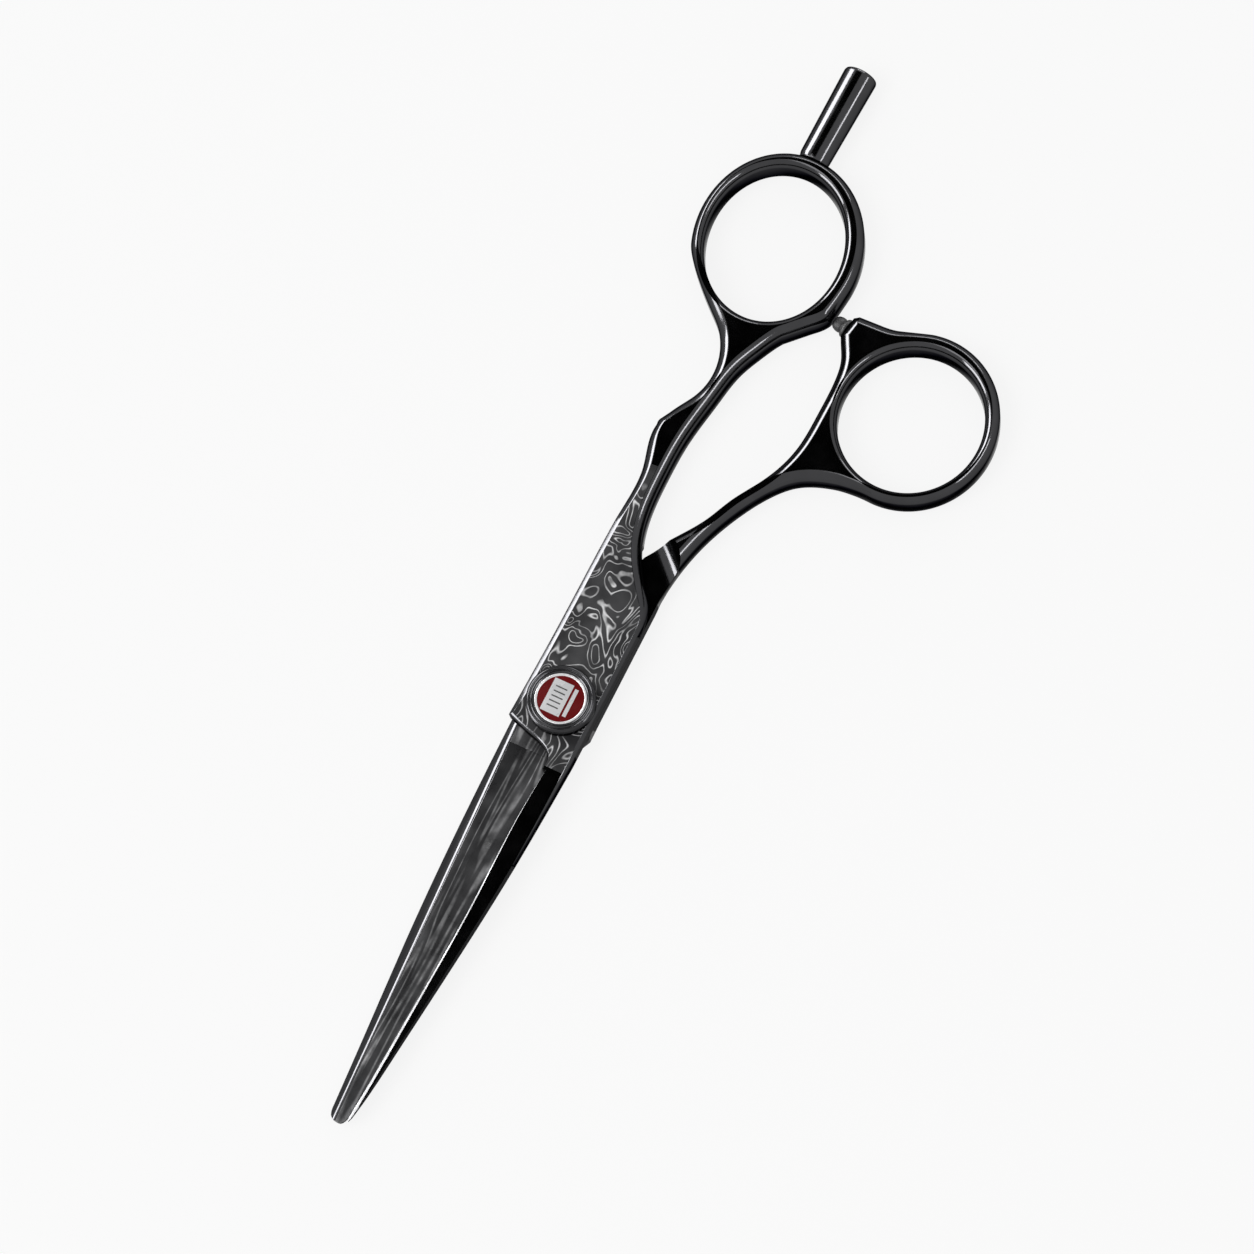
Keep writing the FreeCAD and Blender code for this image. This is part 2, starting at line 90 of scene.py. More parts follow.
# natural spline through the points, sampled evenly
def smoothCurve(points, step):
    p = np.array(points, float)
    t = np.concatenate([[0], np.cumsum(np.linalg.norm(np.diff(p, axis=0), axis=1))])
    count = max(2, int(round(t[-1] / step)) + 1)
    s = np.linspace(0, t[-1], count)
    if len(p) == 2:
        return p[0] + (p[1] - p[0]) * (s / t[-1])[:, None]
    h = np.diff(t)
    a = np.eye(len(p))
    r = np.zeros((len(p), 2))
    for i in range(1, len(p) - 1):
        a[i, i - 1:i + 2] = h[i - 1], 2 * (h[i - 1] + h[i]), h[i]
        r[i] = 6 * ((p[i + 1] - p[i]) / h[i] - (p[i] - p[i - 1]) / h[i - 1])
    m = np.linalg.solve(a, r)
    k = np.clip(np.searchsorted(t, s, side="right") - 1, 0, len(h) - 1)
    u = (s - t[k])[:, None]
    hk = h[k][:, None]
    slope = (p[k + 1] - p[k]) / hk - hk * (2 * m[k] + m[k + 1]) / 6
    return p[k] + slope * u + m[k] * u ** 2 / 2 + (m[k + 1] - m[k]) * u ** 3 / (6 * hk)


def oval(centre, size, lean, count):
    angle = np.linspace(0, 2 * np.pi, count, endpoint=False)
    turn = math.radians(lean)
    x = size[0] * np.cos(angle)
    y = size[1] * np.sin(angle)
    return np.stack([
        centre[0] + x * math.cos(turn) - y * math.sin(turn),
        centre[1] + x * math.sin(turn) + y * math.cos(turn)], 1)


def insideOval(points, centre, size, lean):
    turn = math.radians(lean)
    d = points - centre
    x = d[:, 0] * math.cos(turn) + d[:, 1] * math.sin(turn)
    y = -d[:, 0] * math.sin(turn) + d[:, 1] * math.cos(turn)
    return (x / size[0]) ** 2 + (y / size[1]) ** 2 < 1


# the rim from start round to end, counter-clockwise
def ringArc(start, end, centre, size, lean):
    rim = oval(centre, size, lean, 300)
    first = int(np.argmin(np.linalg.norm(rim - start, axis=1)))
    rim = np.roll(rim, -first, axis=0)
    last = int(np.argmin(np.linalg.norm(rim - end, axis=1)))
    return rim[2:last - 1]


def closedAverage(values, reach):
    total = sum(np.roll(values, shift, axis=0) for shift in range(-reach, reach + 1))
    return total / (2 * reach + 1)


# rounds the loop off near the marked points only
def easeAt(points, marks, reach, rounds):
    weight = np.zeros(len(points))
    for mark in marks:
        distance = np.linalg.norm(points - mark, axis=1)
        weight = np.maximum(weight, np.clip(1.5 - distance / reach, 0, 1))
    for _ in range(rounds):
        middle = (np.roll(points, 1, axis=0) + np.roll(points, -1, axis=0)) / 2
        points = points + (middle - points) * 0.5 * weight[:, None]
    return points


# a finish is (bevel width, bevel drop, roundness) of the edge along a stretch, in mm.
edgeFinish = {
    "joint": (0.80, 0.50, 1.05),
    "jointRight": (0.50, 0.55, 1.10),
    "shoulder": (0.42, 0.42, 1.3),
    "edge": (0.02, 0.02, 1.2),
    "blade": (0.40, 0.40, 1.2),
    "handle": (1.35, 1.45, 1.45),
    "ring": (1.05, 1.35, 1.5),
    "hole": (0.95, 1.30, 1.6),
}


# joins named stretches into one closed loop; each ends where the next one starts
def outline(stretches, marks):
    loops, finish = [], []
    for number, (kind, points, dense) in enumerate(stretches):
        after = stretches[(number + 1) % len(stretches)][1][0]
        run = np.array(points) if dense else smoothCurve(list(points) + [after], sampleStep)[:-1]
        loops.append(run)
        finish += [edgeFinish[kind]] * len(run)
    loop = np.concatenate(loops)
    finish = np.array(finish)
    loop = easeAt(loop, marks, reach=1.6, rounds=60)
    # the stretches run clockwise seen from above, so the loop is turned round
    return loop[::-1], closedAverage(finish, 4)[::-1]


# the turn at each point of a loop, and the mean length of its two sides
def turning(loop):
    before = loop - np.roll(loop, 1, axis=0)
    after = np.roll(loop, -1, axis=0) - loop
    cross = before[:, 0] * after[:, 1] - before[:, 1] * after[:, 0]
    lengths = np.linalg.norm(before, axis=1) + np.linalg.norm(after, axis=1)
    return np.arctan2(cross, (before * after).sum(1)), lengths / 2


# where each point of a counter-clockwise loop goes when the loop is offset inwards
def inward(loop, width):
    angle = turning(loop)[0]
    tangent = np.roll(loop, -1, axis=0) - np.roll(loop, 1, axis=0)
    tangent /= np.linalg.norm(tangent, axis=1)[:, None]
    normal = np.stack([-tangent[:, 1], tangent[:, 0]], 1)
    moved = loop + normal * width[:, None]
    narrowest, overlap = 0.4, 1.02                   # limit of a corner's reach, and what it takes in
    for i in np.where(np.abs(angle) > math.radians(cornerAngle))[0]:
        half = angle[i] / 2
        tip = loop[i] + normal[i] * width[i] / max(math.cos(half), narrowest)
        if angle[i] > 0:
            gap = np.linalg.norm(loop - loop[i], axis=1)
            near = gap < width[i] * math.tan(abs(half)) * overlap
            moved[near] = tip
        moved[i] = tip
    return moved


# keeps an edge's bevel narrower than the radius it goes round
def limitWidth(loop, finish):
    angle, side = turning(loop)
    bend = closedAverage(np.where(np.abs(angle) > math.radians(cornerAngle), 0, angle), 2)
    straight = 1e-4                                  # bends below this count as none
    widthShare = 0.75                                # of the radius, at most
    radius = np.where(bend > straight, side / np.maximum(bend, straight), 1e3)
    width = np.minimum(finish[:, 0], widthShare * radius)
    low = width.copy()
    for shift in range(-4, 5):
        low = np.minimum(low, np.roll(width, shift))
    return closedAverage(low, 4)


# one closed half with rounded edges top and bottom, standing from 0 to the top level
def halfPlate(name, outer, finish, hole, holeFinish, steps=8):
    bm = bmesh.new()
    underShare = 0.8                                 # the lower edge is rounded a little less
    ledge = 0.04                                     # level strip that the flat faces are filled in from
    for loop, ends, sign in ((outer, finish, 1), (hole, holeFinish, -1)):
        width = limitWidth(loop, ends) if sign == 1 else ends[:, 0]
        theta = np.linspace(0, math.pi / 2, steps)
        rows = []
        for side in ("bottom", "top"):
            share = 1.0 if side == "top" else underShare
            part = []
            for angle in theta:
                power = 2 / ends[:, 2]
                inset = (1 - np.cos(angle) ** power) * width * share
                drop = (1 - np.sin(angle) ** power) * ends[:, 1] * share
                part.append((inset, drop))
            part.append((width * share + ledge, 0 * width))
            if side == "bottom":
                part = part[::-1]
            for inset, drop in part:
                spot = inward(loop, inset) if sign == 1 else inward(loop[::-1], -inset)[::-1]
                z = topLevel - drop if side == "top" else drop
                rows.append([bm.verts.new((x, y, level)) for (x, y), level in zip(spot, z)])
        for low, high in zip(rows[:-1], rows[1:]):
            for i in range(len(loop)):
                j = (i + 1) % len(loop)
                bm.faces.new((low[i], low[j], high[j], high[i]))
    bmesh.ops.remove_doubles(bm, verts=bm.verts, dist=0.004)
    openEdges = [e for e in bm.edges if len(e.link_faces) == 1]
    for level, direction in ((topLevel, 1), (0.0, -1)):
        rim = [e for e in openEdges if e.is_valid and abs(e.verts[0].co.z - level) < 0.01
               and abs(e.verts[1].co.z - level) < 0.01]
        bmesh.ops.triangle_fill(bm, edges=rim, use_beauty=True, normal=(0, 0, direction))
    bmesh.ops.recalc_face_normals(bm, faces=bm.faces)
    loose = sum(1 for e in bm.edges if len(e.link_faces) != 2)
    print("%s: %d faces, %d open edges" % (name, len(bm.faces), loose))
    return addObject(name, meshOf(bm, name))


# cutters: closed block over a plan outline; low and high are levels or functions of the place
def prism(plan, low, high):
    bm = bmesh.new()
    bottom = [bm.verts.new((x, y, low(x, y) if callable(low) else low)) for x, y in plan]
    top = [bm.verts.new((x, y, high(x, y) if callable(high) else high)) for x, y in plan]
    bm.faces.new(bottom[::-1])
    bm.faces.new(top)
    for i in range(len(plan)):
        j = (i + 1) % len(plan)
        bm.faces.new((bottom[i], bottom[j], top[j], top[i]))
    bmesh.ops.recalc_face_normals(bm, faces=bm.faces)
    return bm


# closed bar: a profile of (along direction, height) corners swept sideways both ways
def profileBar(profile, origin, direction, length):
    bm = bmesh.new()
    along = np.array(direction, float)
    across = np.array((-along[1], along[0]))
    ends = []
    for side in (-length, length):
        ends.append([bm.verts.new((*(np.array(origin) + along * a + across * side), z)) for a, z in profile])
    bm.faces.new(ends[0])
    bm.faces.new(ends[1][::-1])
    for i in range(len(profile)):
        j = (i + 1) % len(profile)
        bm.faces.new((ends[0][j], ends[0][i], ends[1][i], ends[1][j]))
    bmesh.ops.recalc_face_normals(bm, faces=bm.faces)
    return bm


# closed bar from matching four-cornered sections
def sweep(sections):
    bm = bmesh.new()
    rows = [[bm.verts.new(corner) for corner in section] for section in sections]
    bm.faces.new(rows[0])
    bm.faces.new(rows[-1][::-1])
    for a, b in zip(rows[:-1], rows[1:]):
        for k in range(4):
            n = (k + 1) % 4
            bm.faces.new((a[k], b[k], b[n], a[n]))
    bmesh.ops.recalc_face_normals(bm, faces=bm.faces)
    return bm


# height over the plan of the plane through three points
def plane(a, b, c):
    a, b, c = Vector(a), Vector(b), Vector(c)
    n = (b - a).cross(c - a)
    return lambda x, y: a.z - (n.x * (x - a.x) + n.y * (y - a.y)) / n.z


# takes a closed block out of a half
def carve(thing, bm):
    cutter = addObject("cutter", meshOf(bm, "cutter"))
    change = thing.modifiers.new("carve", "BOOLEAN")
    change.operation = "DIFFERENCE"
    change.solver = "EXACT"
    change.object = cutter
    settle(thing)
    bpy.data.objects.remove(cutter)


def disc(radius, count=96, x=0.0, y=0.0):
    return [(x + radius * math.cos(2 * math.pi * i / count), y + radius * math.sin(2 * math.pi * i / count))
            for i in range(count)]


# scales a half to metres, tidies its mesh and gives each face its material
def finishMesh(thing, materials, choose):
    mesh = thing.data
    bm = bmesh.new()
    bm.from_mesh(mesh)
    bmesh.ops.remove_doubles(bm, verts=bm.verts, dist=0.003)
    bmesh.ops.dissolve_degenerate(bm, dist=0.002, edges=bm.edges)
    bad = sum(1 for e in bm.edges if len(e.link_faces) != 2)
    for face in bm.faces:
        face.smooth = True
        face.material_index = choose(face.calc_center_median(), face.normal)
    bmesh.ops.scale(bm, vec=(mm, mm, mm), verts=bm.verts)
    mesh.materials.clear()
    for item in materials:
        mesh.materials.append(item)
    bm.to_mesh(mesh)
    bm.free()
    mesh.set_sharp_from_angle(angle=math.radians(sharpAngle))
    print("%s: %d faces, %d bad edges" % (thing.name, len(mesh.polygons), bad))


# a new material, its nodes and its shader
def material(name):
    m = bpy.data.materials.new(name)
    m.use_nodes = True
    tree = m.node_tree
    return m, tree, tree.nodes["Principled BSDF"]


# a new node with some of its inputs set by name
def node(tree, kind, **inputs):
    n = tree.nodes.new(kind)
    for key, value in inputs.items():
        n.inputs[key.replace("_", " ")].default_value = value
    return n


def coordinates(tree, scale=(1, 1, 1)):
    place = tree.nodes.new("ShaderNodeTexCoord")
    mapping = node(tree, "ShaderNodeMapping", Scale=scale)
    tree.links.new(place.outputs["Object"], mapping.inputs["Vector"])
    return mapping.outputs["Vector"]


def maths(tree, operation, *values):
    n = tree.nodes.new("ShaderNodeMath")
    n.operation = operation
    for socket, value in zip(n.inputs, values):
        if isinstance(value, (int, float)):
            socket.default_value = value
        else:
            tree.links.new(value, socket)
    return n.outputs[0]


def mapRange(tree, source, low, high, toLow, toHigh):
    n = tree.nodes.new("ShaderNodeMapRange")
    for key, value in (("From Min", low), ("From Max", high), ("To Min", toLow), ("To Max", toHigh)):
        n.inputs[key].default_value = value
    tree.links.new(source, n.inputs["Value"])
    return n.outputs["Result"]


# shader group: thin lines along the levels of a warped noise, as in etched layered steel
def contourGroup():
    group = bpy.data.node_groups.new("layeredLines", "ShaderNodeTree")
    face = group.interface
    face.new_socket("Vector", in_out="INPUT", socket_type="NodeSocketVector")
    for label, value in (("Scale", 200.0), ("Layers", 5.0), ("Line Width", 0.3), ("Warp", 0.6)):
        face.new_socket(label, in_out="INPUT", socket_type="NodeSocketFloat").default_value = value
    face.new_socket("Lines", in_out="OUTPUT", socket_type="NodeSocketFloat")
    start = group.nodes.new("NodeGroupInput")
    end = group.nodes.new("NodeGroupOutput")
    noise = node(group, "ShaderNodeTexNoise", Detail=1.2, Roughness=0.45)
    group.links.new(start.outputs["Vector"], noise.inputs["Vector"])
    group.links.new(start.outputs["Scale"], noise.inputs["Scale"])
    group.links.new(start.outputs["Warp"], noise.inputs["Distortion"])
    layer = maths(group, "MULTIPLY", noise.outputs["Fac"], start.outputs["Layers"])
    wave = maths(group, "PINGPONG", layer, 0.5)
    line = group.nodes.new("ShaderNodeMapRange")
    line.interpolation_type = "SMOOTHSTEP"
    line.inputs["From Min"].default_value = 0.0
    line.inputs["To Min"].default_value = 1.0
    line.inputs["To Max"].default_value = 0.0
    group.links.new(wave, line.inputs["Value"])
    group.links.new(start.outputs["Line Width"], line.inputs["From Max"])
    group.links.new(line.outputs["Result"], end.inputs["Lines"])
    return group


# shader group: slow cloudiness and fine polishing marks for a worked metal surface
def scuffGroup():
    group = bpy.data.node_groups.new("polishMarks", "ShaderNodeTree")
    face = group.interface
    face.new_socket("Vector", in_out="INPUT", socket_type="NodeSocketVector")
    for label, value in (("Smoothest", 0.1), ("Roughest", 0.2), ("Depth", 0.04)):
        face.new_socket(label, in_out="INPUT", socket_type="NodeSocketFloat").default_value = value
    face.new_socket("Roughness", in_out="OUTPUT", socket_type="NodeSocketFloat")
    face.new_socket("Normal", in_out="OUTPUT", socket_type="NodeSocketVector")
    start = group.nodes.new("NodeGroupInput")
    end = group.nodes.new("NodeGroupOutput")
    cloud = node(group, "ShaderNodeTexNoise", Scale=260.0, Detail=4.0)
    fine = node(group, "ShaderNodeTexNoise", Scale=2600.0, Detail=2.0)
    for texture in (cloud, fine):
        group.links.new(start.outputs["Vector"], texture.inputs["Vector"])
    spread = group.nodes.new("ShaderNodeMapRange")
    spread.inputs["From Min"].default_value = 0.3
    spread.inputs["From Max"].default_value = 0.7
    group.links.new(cloud.outputs["Fac"], spread.inputs["Value"])
    group.links.new(start.outputs["Smoothest"], spread.inputs["To Min"])
    group.links.new(start.outputs["Roughest"], spread.inputs["To Max"])
    bump = node(group, "ShaderNodeBump", Distance=0.0001)
    group.links.new(start.outputs["Depth"], bump.inputs["Strength"])
    group.links.new(fine.outputs["Fac"], bump.inputs["Height"])
    group.links.new(spread.outputs["Result"], end.inputs["Roughness"])
    group.links.new(bump.outputs["Normal"], end.inputs["Normal"])
    return group


layeredLines = contourGroup()
polishMarks = scuffGroup()


def addMarks(tree, shader, smoothest, roughest, depth=0.04):
    marks = tree.nodes.new("ShaderNodeGroup")
    marks.node_tree = polishMarks
    marks.inputs["Smoothest"].default_value = smoothest
    marks.inputs["Roughest"].default_value = roughest
    marks.inputs["Depth"].default_value = depth
    tree.links.new(coordinates(tree), marks.inputs["Vector"])
    tree.links.new(marks.outputs["Roughness"], shader.inputs["Roughness"])
    tree.links.new(marks.outputs["Normal"], shader.inputs["Normal"])


def mixColours(tree, factor, first, second):
    mix = tree.nodes.new("ShaderNodeMix")
    mix.data_type = "RGBA"
    if factor is not None:
        tree.links.new(factor, mix.inputs[0])
    for socket, value in ((mix.inputs[6], first), (mix.inputs[7], second)):
        if isinstance(value, tuple):
            socket.default_value = (*value, 1)
        else:
            tree.links.new(value, socket)
    return mix.outputs[2]


# a metal, plastic or enamel that is cloudy between two close colours, with polishing marks
def worked(name, dark, light, smoothest, roughest, metallic=1.0, scale=300.0, depth=0.04, tint=1.0):
    m, tree, shader = material(name)
    shader.inputs["Metallic"].default_value = metallic
    shader.inputs["Specular Tint"].default_value = (*[tint] * 3, 1)
    addMarks(tree, shader, smoothest, roughest, depth)
    noise = node(tree, "ShaderNodeTexNoise", Scale=scale, Detail=3.0)
    tree.links.new(coordinates(tree), noise.inputs["Vector"])
    tree.links.new(mixColours(tree, noise.outputs["Fac"], dark, light), shader.inputs["Base Color"])
    return m


# etched layered steel: light lines on dark, fading out past a place along Y
def layered(name, stretch, scale, layers, width, warp, dark, light, metallic, roughness, fadeFrom=None):
    m, tree, shader = material(name)
    shader.inputs["Metallic"].default_value = metallic
    addMarks(tree, shader, *roughness)
    lines = tree.nodes.new("ShaderNodeGroup")
    lines.node_tree = layeredLines
    for key, value in (("Scale", scale), ("Layers", layers), ("Line Width", width), ("Warp", warp)):
        lines.inputs[key].default_value = value
    tree.links.new(coordinates(tree, stretch), lines.inputs["Vector"])
    breakUp = node(tree, "ShaderNodeTexNoise", Scale=420.0, Detail=3.0)
    tree.links.new(coordinates(tree), breakUp.inputs["Vector"])
    strength = mapRange(tree, breakUp.outputs["Fac"], low=0.36, high=0.62, toLow=0.25, toHigh=1.0)
    colour = mixColours(tree, maths(tree, "MULTIPLY", lines.outputs["Lines"], strength), dark, light)
    if fadeFrom:
        place = tree.nodes.new("ShaderNodeTexCoord")
        split = tree.nodes.new("ShaderNodeSeparateXYZ")
        tree.links.new(place.outputs["Object"], split.inputs[0])
        raggedness, fadeLength = 0.006, 0.0012
        ragged = maths(tree, "MULTIPLY_ADD", breakUp.outputs["Fac"], raggedness, split.outputs["Y"])
        fade = mapRange(tree, ragged, fadeFrom, fadeFrom + fadeLength, 0.0, 1.0)
        colour = mixColours(tree, fade, colour, bareSteel)
    tree.links.new(colour, shader.inputs["Base Color"])
    return m


blackSteel = worked("black steel", (0.042, 0.042, 0.044), (0.058, 0.058, 0.061), 0.09, 0.17, tint=0.3)
bareSteel = (0.006, 0.006, 0.007)                    # the joint's colour past the pattern
jointSteel = layered("layered steel, joint", stretch=(1, 0.8, 1), scale=190.0, layers=10.0, width=0.17,
                     warp=1.3, dark=(0.017, 0.017, 0.019), light=(0.80, 0.80, 0.81), metallic=0.2,
                     roughness=(0.32, 0.5), fadeFrom=0.0342)
bladeSteel = layered("layered steel, blade", stretch=(1, 0.07, 1), scale=520.0, layers=6.0, width=0.30,
                     warp=0.25, dark=(0.035, 0.035, 0.037), light=(0.26, 0.26, 0.265), metallic=0.55,
                     roughness=(0.24, 0.4))
darkDial = worked("black dial", (0.030, 0.030, 0.032), (0.045, 0.045, 0.047), 0.14, 0.24, tint=0.4)
darkBolt = worked("dark bolt", (0.03, 0.03, 0.032), (0.05, 0.05, 0.055), 0.22, 0.34)
brightSteel = worked("bright steel", (0.45, 0.45, 0.46), (0.62, 0.62, 0.63), 0.18, 0.32)
silver = worked("silver", (0.80, 0.80, 0.81), (0.92, 0.92, 0.93), 0.22, 0.36, metallic=0.2)
brass = worked("brass", (0.55, 0.38, 0.12), (0.72, 0.52, 0.20), 0.2, 0.34)
bushPlastic = worked("bush plastic", (0.35, 0.34, 0.31), (0.45, 0.44, 0.40), 0.4, 0.55, metallic=0.0)
rubber = worked("black rubber", (0.010, 0.010, 0.011), (0.020, 0.020, 0.021), 0.45, 0.62, metallic=0.0,
                scale=900.0, depth=0.2)
inkBlack = worked("mark black", (0.008, 0.008, 0.009), (0.02, 0.02, 0.02), 0.4, 0.6, metallic=0.0)
enamel = worked("red enamel", (0.13, 0.001, 0.002), (0.20, 0.002, 0.004), 0.16, 0.3, metallic=0.0,
                scale=500.0)
enamel.node_tree.nodes["Principled BSDF"].inputs["Coat Weight"].default_value = 0.5
print("materials made")


# front half: patterned joint, finger ring
frontHalf = {
    "tipY": -64.1,
    "rimCentre": fingerRing + (0.4, 0.1),
    "rimSize": (12.2, 14.0),
    "holeSize": (9.9, 11.7),
    "lean": 13.9,
    "pocketRadius": 4.0,
    "pocketFloor": 3.9,
    "boreRadius": 2.28,
    "facetRise": 0.28,                               # steel left under the facet at the honed edge
    "tipThickness": 1.1,
    "honedLift": 0.05,
    "patternEnd": 36,
}
pastTip = -70                                        # cutters reach from here
above = 9                                            # and up to here, clear of the steel
bladeRoot = -8                                       # where the blades' facets are measured from


# a block right across a blade, from a place along it to past its tip
def acrossBlade(start, low, high):
    return prism([(12, pastTip), (12, start), (-9, start), (-9, pastTip)], low, high)


def ringOffset(centre, points):
    return [tuple(centre + np.array(p)) for p in points]


def makeFrontHalf():
    f = frontHalf
    tip = f["tipY"]
    spine = [(5.0, -7.2), (4.1, -24.8), (3.1, -36.6), (1.35, -54.0), (0.3, tip + 1.7)]
    nose = [(0.1, tip + 0.6), (-0.2, tip)]
    edge = [(-0.33, tip + 0.3), (0.65, -45.0), (1.21, -29.9), (1.4, -14.0)]
    shoulder = [(1.75, -9.5), (1.6, -7.7), (0.6, -6.7), (-1.85, -5.8)]
    left = [(-6.0, -4.5), (-5.6, 9.2), (-5.5, 19.0), (-5.3, 28.5), (-5.55, 35.6), (-6.7, 41.4)]
    shelf = [(-6.5, 42.8)] + ringOffset(fingerRing, [
        (-1.6, -27.4), (-0.2, -25.0), (0.7, -20.9), (-1.2, -15.2), (-6.3, -10.6), (-10.4, -7.0)])
    right = ringOffset(fingerRing, [
        (12.35, -3.5), (12.2, -6.4), (8.0, -11.0), (5.3, -15.4), (3.8, -18.9), (2.8, -23.9),
        (1.7, -31.0)]) + [(-2.0, 35.7), (-1.2, 27.3), (0.3, 23.5)]
    neck = [(1.7, 21.3), (3.3, 19.1), (4.5, 17.2)]
    side = [(5.0, 14.5)]
    rim = (f["rimCentre"], f["rimSize"], f["lean"])
    shelfRun = smoothCurve(shelf, sampleStep)
    shelfRun = shelfRun[~insideOval(shelfRun, *rim)]
    rightRun = smoothCurve(right + [neck[0]], sampleStep)[:-1]
    rightRun = rightRun[~insideOval(rightRun, *rim)]
    ring = ringArc(rightRun[0], shelfRun[-1], *rim)[::-1]
    loop, finish = outline([
        ("blade", spine, False), ("edge", nose, False), ("edge", edge, False), ("shoulder", shoulder, False),
        ("joint", left, False), ("handle", shelfRun, True), ("ring", ring, True), ("handle", rightRun, True),
        ("handle", neck, False), ("jointRight", side, False)],
        marks=[shelfRun[-1], rightRun[0]])
    # along the joint's outer side the crisp edge turns into the handle's rounder one
    handle, joint = np.array(edgeFinish["handle"]), np.array(edgeFinish["joint"])
    x, y = loop.T
    blendStart, blendLength = 27, 8
    blend = np.clip((y - blendStart) / blendLength, 0, 1)[:, None]
    outerSide = (x < -3) & (y > 0) & (y < 42)
    finish = np.where(outerSide[:, None], joint + (handle - joint) * blend, finish)
    hole = oval(fingerRing, f["holeSize"], f["lean"], 170)[::-1]
    half = halfPlate("front_half", loop, finish, hole, np.tile(edgeFinish["hole"], (len(hole), 1)))
    # the underside is cut away as far as the inner face, up to the neck
    neckLine = smoothCurve([(-5.4, 13.6), (-4.2, 16), (-2.2, 20.5), (-0.9, 24.8), (0.5, 29)], 0.5)
    carve(half, prism([(-9, 13), *neckLine, (20, 29), (20, -130), (-20, -130), (-20, 13)], -1, innerHigh))
    # the facet that rises from the honed edge to the spine, behind the shoulder
    foot = innerHigh + f["facetRise"]
    slope = plane((1.35, bladeRoot, foot), (-0.35, tip, foot), (4.65, bladeRoot, topLevel))
    front = smoothCurve([(5.0, -7.5), (4.2, -7.45), (3.2, -7.8), (2.5, -8.5), (2.1, -9.6), (1.0, -11.5)], 0.3)
    facet = [(9, pastTip), (9, -8.6), (5.6, -7.9), *front, (-6, -14), (-6, pastTip)]
    carve(half, prism(facet, slope, above))
    thin = plane((0, bladeRoot, topLevel), (0, tip, innerHigh + f["tipThickness"]), (1, bladeRoot, topLevel))
    carve(half, acrossBlade(-9.0, thin, above))
    # the narrow bright bevel along the honed edge
    honed = smoothCurve([(-0.5, -66), (-0.33, tip + 0.3), *edge[1:], (1.75, -9.5)], 1.5)
    lift = innerHigh + f["honedLift"]
    carve(half, sweep([[(x - 0.3, y, lift - 0.4), (x + 0.6, y, lift + 0.8), (x + 0.6, y, above),
                        (x - 0.3, y, above)] for x, y in honed]))
    carve(half, prism(disc(f["pocketRadius"]), f["pocketFloor"], above))
    carve(half, prism(disc(f["boreRadius"]), 1, above))

    def choose(centre, normal):
        if normal.x < -0.6 and 0.3 < normal.z < 0.85 and centre.y < -9.4:
            return 2
        flat = normal.z > 0.995 and centre.z > topLevel - 0.02
        return 1 if flat and centre.y < f["patternEnd"] else 0

    finishMesh(half, [blackSteel, jointSteel, brightSteel], choose)
    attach(half, "finger_side")
    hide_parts("finger_half")


# back half: broad blade, neck, thumb ring
backHalf = {
    "tipY": -64.7,
    "rimCentre": thumbRing + (-0.1, 0.4),
    "rimSize": (12.2, 12.75),
    "holeSize": (10.2, 10.6),
    "lean": 0.0,
    "bumperFlat": ((-14.5, 7.5), (-13.9, 10.5)),     # from the ring's centre
    "hollowDepth": 0.2,
    "hollowRadius": 20.0,
    "neckRadius": 4.0,
    "neckStart": 18.4,
    "squareSide": 4.5,
    "headRadius": 3.75,
    "headFloor": 1.0,
    "tipThickness": 1.1,
    "edgeThickness": 0.15,
    "spineFacets": ((1.40, 0.03, 0.60), (0.90, 0.22, 1.15)),     # inset, drop at its start and at the rim
}


